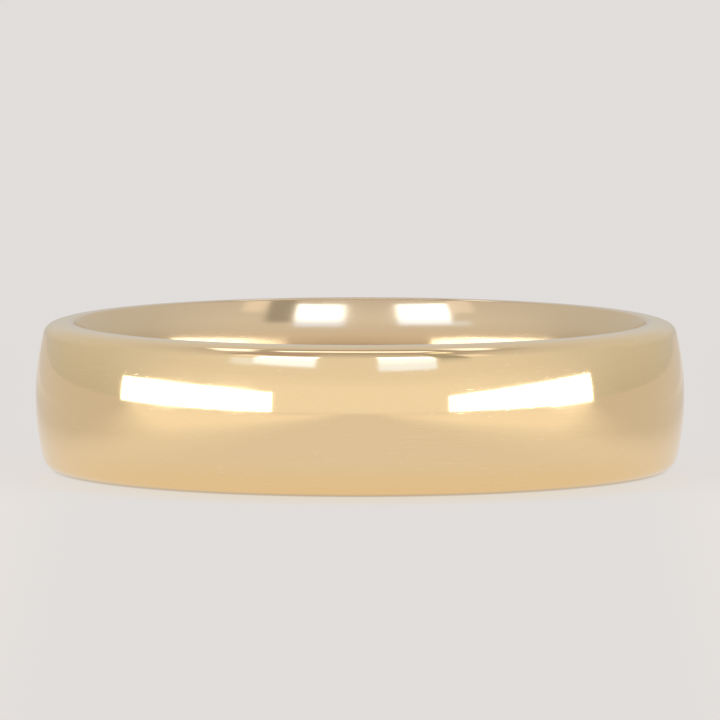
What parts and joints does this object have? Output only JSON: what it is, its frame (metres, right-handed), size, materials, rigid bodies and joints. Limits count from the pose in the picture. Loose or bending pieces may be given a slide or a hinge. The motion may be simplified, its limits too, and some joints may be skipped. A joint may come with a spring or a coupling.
{
  "type": "wedding band",
  "caption": "Plain low-dome wedding band in polished yellow gold, with a comfort-fit inside and slim flat edges it can stand on.",
  "frame": {"origin": "centre of the finger hole, half way across the band's width", "axes": "+Z along the axis of the finger hole, +X and +Y across the ring; the ring is round, so X and Y are alike"},
  "size_m": [0.022, 0.022, 0.005],
  "materials": {
    "polished_gold": "polished"
  },
  "bodies": {
    "root": {"band": "polished_gold"}
  },
  "joints": []
}
